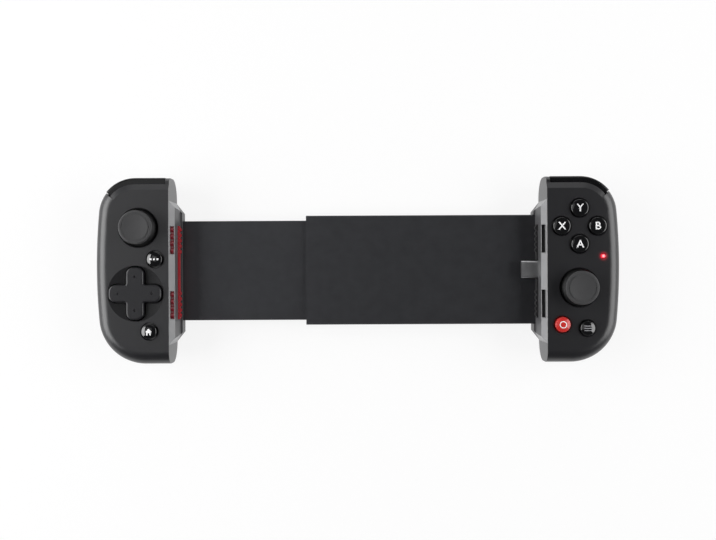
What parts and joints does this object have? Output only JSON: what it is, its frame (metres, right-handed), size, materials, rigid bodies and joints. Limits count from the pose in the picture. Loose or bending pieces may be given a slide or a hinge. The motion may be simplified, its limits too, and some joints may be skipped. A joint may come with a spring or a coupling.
{
  "type": "mobile game controller",
  "caption": "Telescopic handheld game controller: two grips with thumb sticks, keys, bumpers and triggers, drawn together along a sliding bridge across an open bay.",
  "frame": {"origin": "middle of the bounding box in length and width, on the plane that both grips rest on", "axes": "+X along the bridge towards the grip with the four face buttons, +Y towards the shoulder bumpers, +Z out of the face with the sticks"},
  "size_m": [0.245, 0.087, 0.029],
  "materials": {
    "shell": "fine matt grain",
    "stop": "matt",
    "gloss_black": "gloss",
    "soft_black": "matt soft",
    "soft_red": "matt soft",
    "membrane": "matt",
    "red_key": "satin",
    "black_key": "satin",
    "board": "solder mask",
    "steel": "plain",
    "spring_steel": "drawn",
    "inner_plastic": "plain",
    "bridge": "fine blast, anodised",
    "light": "clear, lit red",
    "plug": "plain",
    "flex": "film"
  },
  "bodies": {
    "right_grip": {"charge_port": "plug", "draw_springs": "spring_steel", "flex_cable": "flex", "light_pipe": "light", "right_back_shell": "shell", "right_board": "board", "right_bumper_pin": "steel", "right_contact_strip": "soft_black", "right_end_stop": "stop", "right_front_shell": "shell", "right_grip_screws": "steel", "right_key_membrane": "membrane", "right_shoulder_switches": "inner_plastic", "right_slot_inserts": "soft_black", "right_stick_case": "steel", "right_trigger_pin": "steel", "right_trigger_spring": "spring_steel", "sleeve_back": "bridge", "sleeve_front": "bridge", "sleeve_screws": "steel", "usb_plug": "plug"},
    "left_grip": {"bridge_tongue": "bridge", "left_back_shell": "shell", "left_board": "board", "left_bumper_pin": "steel", "left_contact_strip": "soft_red", "left_end_stop": "stop", "left_front_shell": "shell", "left_grip_screws": "steel", "left_key_membrane": "membrane", "left_shoulder_switches": "inner_plastic", "left_slot_inserts": "soft_red", "left_stick_case": "steel", "left_trigger_pin": "steel", "left_trigger_spring": "spring_steel"},
    "left_stick_cradle": {"left_stick_cradle": "inner_plastic"},
    "left_stick_yoke": {"left_stick_yoke": "inner_plastic"},
    "left_stick_arch": {"left_stick_arch": "inner_plastic"},
    "left_stick": {"left_stick_shaft": "steel", "left_stick_cap": "soft_black"},
    "left_bumper": {"left_bumper": "gloss_black"},
    "left_trigger": {"left_trigger": "gloss_black"},
    "right_stick_cradle": {"right_stick_cradle": "inner_plastic"},
    "right_stick_yoke": {"right_stick_yoke": "inner_plastic"},
    "right_stick_arch": {"right_stick_arch": "inner_plastic"},
    "right_stick": {"right_stick_shaft": "steel", "right_stick_cap": "soft_black"},
    "right_bumper": {"right_bumper": "gloss_black"},
    "right_trigger": {"right_trigger": "gloss_black"},
    "button_a": {"button_a": "gloss_black"},
    "button_b": {"button_b": "gloss_black"},
    "button_x": {"button_x": "gloss_black"},
    "button_y": {"button_y": "gloss_black"},
    "turbo_button": {"turbo_button": "red_key"},
    "menu_button": {"menu_button": "black_key"},
    "options_button": {"options_button": "black_key"},
    "home_button": {"home_button": "black_key"},
    "pad_ball": {"pad_ball": "inner_plastic"},
    "direction_pad": {"direction_pad": "black_key"}
  },
  "joints": [
    {"name": "bridge_slide", "type": "slide", "parent": "right_grip", "child": "left_grip", "axis": [1, 0, 0], "range_m": [-0.0125, 0.0575], "deforming": ["draw_springs", "flex_cable"]},
    {"name": "right_stick_press", "type": "slide", "parent": "right_grip", "child": "right_stick_cradle", "axis": [0, 0, -1], "range_m": [0, 0.0005], "stiffness_N_per_m": 1500},
    {"name": "right_stick_pitch", "type": "hinge", "parent": "right_stick_cradle", "child": "right_stick_yoke", "pos_m": [0.10265, -0.00861, 0.0136], "axis": [1, 0, 0], "range_deg": [-15, 15], "stiffness_Nm_per_rad": 0.03},
    {"name": "right_stick_roll", "type": "hinge", "parent": "right_stick_yoke", "child": "right_stick", "pos_m": [0.10265, -0.00861, 0.0136], "axis": [0, 1, 0], "range_deg": [-15, 15], "stiffness_Nm_per_rad": 0.03},
    {"name": "right_arch_roll", "type": "hinge", "parent": "right_stick_cradle", "child": "right_stick_arch", "pos_m": [0.10265, -0.00861, 0.0136], "axis": [0, 1, 0], "range_deg": [-15, 15]},
    {"name": "left_stick_press", "type": "slide", "parent": "left_grip", "child": "left_stick_cradle", "axis": [0, 0, -1], "range_m": [0, 0.0005], "stiffness_N_per_m": 1500},
    {"name": "left_stick_pitch", "type": "hinge", "parent": "left_stick_cradle", "child": "left_stick_yoke", "pos_m": [-0.10185, 0.02001, 0.0136], "axis": [1, 0, 0], "range_deg": [-15, 15], "stiffness_Nm_per_rad": 0.03},
    {"name": "left_stick_roll", "type": "hinge", "parent": "left_stick_yoke", "child": "left_stick", "pos_m": [-0.10185, 0.02001, 0.0136], "axis": [0, 1, 0], "range_deg": [-15, 15], "stiffness_Nm_per_rad": 0.03},
    {"name": "left_arch_roll", "type": "hinge", "parent": "left_stick_cradle", "child": "left_stick_arch", "pos_m": [-0.10185, 0.02001, 0.0136], "axis": [0, 1, 0], "range_deg": [-15, 15]},
    {"name": "right_bumper_swing", "type": "hinge", "parent": "right_grip", "child": "right_bumper", "pos_m": [0.09245, 0.0408, 0.016], "axis": [0, 0, -1], "range_deg": [0, 1.6], "stiffness_Nm_per_rad": 1.8},
    {"name": "left_bumper_swing", "type": "hinge", "parent": "left_grip", "child": "left_bumper", "pos_m": [-0.09245, 0.0408, 0.016], "axis": [0, 0, 1], "range_deg": [0, 1.6], "stiffness_Nm_per_rad": 1.8},
    {"name": "right_trigger_pull", "type": "hinge", "parent": "right_grip", "child": "right_trigger", "pos_m": [0.09935, 0.0392, 0.0092], "axis": [-1, 0, 0], "range_deg": [0, 12], "stiffness_Nm_per_rad": 0.08, "deforming": ["right_trigger_spring"]},
    {"name": "left_trigger_pull", "type": "hinge", "parent": "left_grip", "child": "left_trigger", "pos_m": [-0.09935, 0.0392, 0.0092], "axis": [-1, 0, 0], "range_deg": [0, 12], "stiffness_Nm_per_rad": 0.08, "deforming": ["left_trigger_spring"]},
    {"name": "button_a_press", "type": "slide", "parent": "right_grip", "child": "button_a", "axis": [0, 0, -1], "range_m": [0, 0.0012], "stiffness_N_per_m": 250, "deforming": ["right_key_membrane"]},
    {"name": "button_b_press", "type": "slide", "parent": "right_grip", "child": "button_b", "axis": [0, 0, -1], "range_m": [0, 0.0012], "stiffness_N_per_m": 250, "deforming": ["right_key_membrane"]},
    {"name": "button_x_press", "type": "slide", "parent": "right_grip", "child": "button_x", "axis": [0, 0, -1], "range_m": [0, 0.0012], "stiffness_N_per_m": 250, "deforming": ["right_key_membrane"]},
    {"name": "button_y_press", "type": "slide", "parent": "right_grip", "child": "button_y", "axis": [0, 0, -1], "range_m": [0, 0.0012], "stiffness_N_per_m": 250, "deforming": ["right_key_membrane"]},
    {"name": "turbo_button_press", "type": "slide", "parent": "right_grip", "child": "turbo_button", "axis": [0, 0, -1], "range_m": [0, 0.0012], "stiffness_N_per_m": 250, "deforming": ["right_key_membrane"]},
    {"name": "menu_button_press", "type": "slide", "parent": "right_grip", "child": "menu_button", "axis": [0, 0, -1], "range_m": [0, 0.0012], "stiffness_N_per_m": 250, "deforming": ["right_key_membrane"]},
    {"name": "options_button_press", "type": "slide", "parent": "left_grip", "child": "options_button", "axis": [0, 0, -1], "range_m": [0, 0.0012], "stiffness_N_per_m": 250, "deforming": ["left_key_membrane"]},
    {"name": "home_button_press", "type": "slide", "parent": "left_grip", "child": "home_button", "axis": [0, 0, -1], "range_m": [0, 0.0012], "stiffness_N_per_m": 250, "deforming": ["left_key_membrane"]},
    {"name": "pad_pitch", "type": "hinge", "parent": "left_grip", "child": "pad_ball", "pos_m": [-0.1032, -0.01048, 0.0164], "axis": [1, 0, 0], "range_deg": [-4, 4], "stiffness_Nm_per_rad": 0.2, "deforming": ["left_key_membrane"]},
    {"name": "pad_roll", "type": "hinge", "parent": "pad_ball", "child": "direction_pad", "pos_m": [-0.1032, -0.01048, 0.0164], "axis": [0, 1, 0], "range_deg": [-4, 4], "stiffness_Nm_per_rad": 0.2, "deforming": ["left_key_membrane"]}
  ],
  "couplings": [
    {"joint": "right_arch_roll", "follows": "right_stick_roll", "ratio": 1},
    {"joint": "left_arch_roll", "follows": "left_stick_roll", "ratio": 1}
  ]
}
